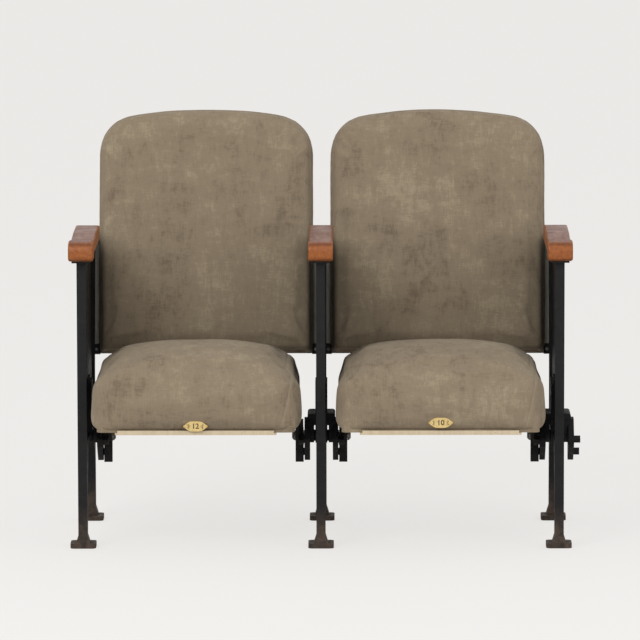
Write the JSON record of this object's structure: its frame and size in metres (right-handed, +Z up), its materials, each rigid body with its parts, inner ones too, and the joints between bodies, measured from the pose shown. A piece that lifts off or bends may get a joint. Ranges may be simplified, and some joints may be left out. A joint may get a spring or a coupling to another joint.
{
  "type": "tip-up auditorium seat",
  "caption": "Tip-up auditorium seats joined side by side on cast standards, with thick cushions, domed padded backs, scroll wooden armrests and small oval number plates.",
  "frame": {"origin": "on the floor, in the middle of the four floor bolt holes of the centre standard", "axes": "+X along the row to the right as seen from the front, -Y the front of the seats, +Z up"},
  "size_m": [1.065, 0.6047, 0.8777],
  "materials": {
    "casting": "worn black paint over rough castings, brown rust on the feet",
    "armrest_wood": "old dark varnish, worn to orange-brown on the edges",
    "upholstery": "short cut-pile velvet in taupe olive, nap worn in patches",
    "back_board": "bare plywood",
    "back_panel": "thin painted sheet, greyed cream",
    "seat_timber": "bare plywood",
    "seat_pan": "cream paint, chipped",
    "rubber_stop": "matt black",
    "steel_fixing": "dull, darkened",
    "brass_trim": "polished, slightly worn"
  },
  "bodies": {
    "frame": {"armrest_screws": "steel_fixing", "centre_armrest": "armrest_wood", "centre_standard": "casting", "hinge_bracket_bolts": "steel_fixing", "left_armrest": "armrest_wood", "left_back_board": "back_board", "left_back_bolts": "steel_fixing", "left_back_pad": "upholstery", "left_back_panel": "back_panel", "left_back_screws": "steel_fixing", "left_seat_left_hinge_bracket": "casting", "left_seat_left_pivot_bolt": "steel_fixing", "left_seat_left_pivot_washer": "steel_fixing", "left_seat_left_stop_buffers": "rubber_stop", "left_seat_right_hinge_bracket": "casting", "left_seat_right_pivot_bolt": "steel_fixing", "left_seat_right_pivot_washer": "steel_fixing", "left_seat_right_stop_buffers": "rubber_stop", "left_standard": "casting", "right_armrest": "armrest_wood", "right_back_board": "back_board", "right_back_bolts": "steel_fixing", "right_back_pad": "upholstery", "right_back_panel": "back_panel", "right_back_screws": "steel_fixing", "right_seat_left_hinge_bracket": "casting", "right_seat_left_pivot_bolt": "steel_fixing", "right_seat_left_pivot_washer": "steel_fixing", "right_seat_left_stop_buffers": "rubber_stop", "right_seat_right_hinge_bracket": "casting", "right_seat_right_pivot_bolt": "steel_fixing", "right_seat_right_pivot_washer": "steel_fixing", "right_seat_right_stop_buffers": "rubber_stop", "right_standard": "casting", "spare_hinge_bracket": "casting"},
    "left_seat": {"left_hinge_arm_screws": "steel_fixing", "left_number_plate": "brass_trim", "left_pan_screws": "steel_fixing", "left_plate_pins": "brass_trim", "left_seat_board": "seat_timber", "left_seat_cushion": "upholstery", "left_seat_left_hinge_arm": "casting", "left_seat_left_pivot_bush": "brass_trim", "left_seat_pan": "seat_pan", "left_seat_right_hinge_arm": "casting", "left_seat_right_pivot_bush": "brass_trim"},
    "right_seat": {"right_hinge_arm_screws": "steel_fixing", "right_number_plate": "brass_trim", "right_pan_screws": "steel_fixing", "right_plate_pins": "brass_trim", "right_seat_board": "seat_timber", "right_seat_cushion": "upholstery", "right_seat_left_hinge_arm": "casting", "right_seat_left_pivot_bush": "brass_trim", "right_seat_pan": "seat_pan", "right_seat_right_hinge_arm": "casting", "right_seat_right_pivot_bush": "brass_trim"}
  },
  "joints": [
    {"name": "left_seat_tip", "type": "hinge", "parent": "frame", "child": "left_seat", "pos_m": [-0.2475, -0.015, 0.21], "axis": [-1, 0, 0], "range_deg": [0, 60]},
    {"name": "right_seat_tip", "type": "hinge", "parent": "frame", "child": "right_seat", "pos_m": [0.2475, -0.015, 0.21], "axis": [-1, 0, 0], "range_deg": [0, 60]}
  ]
}
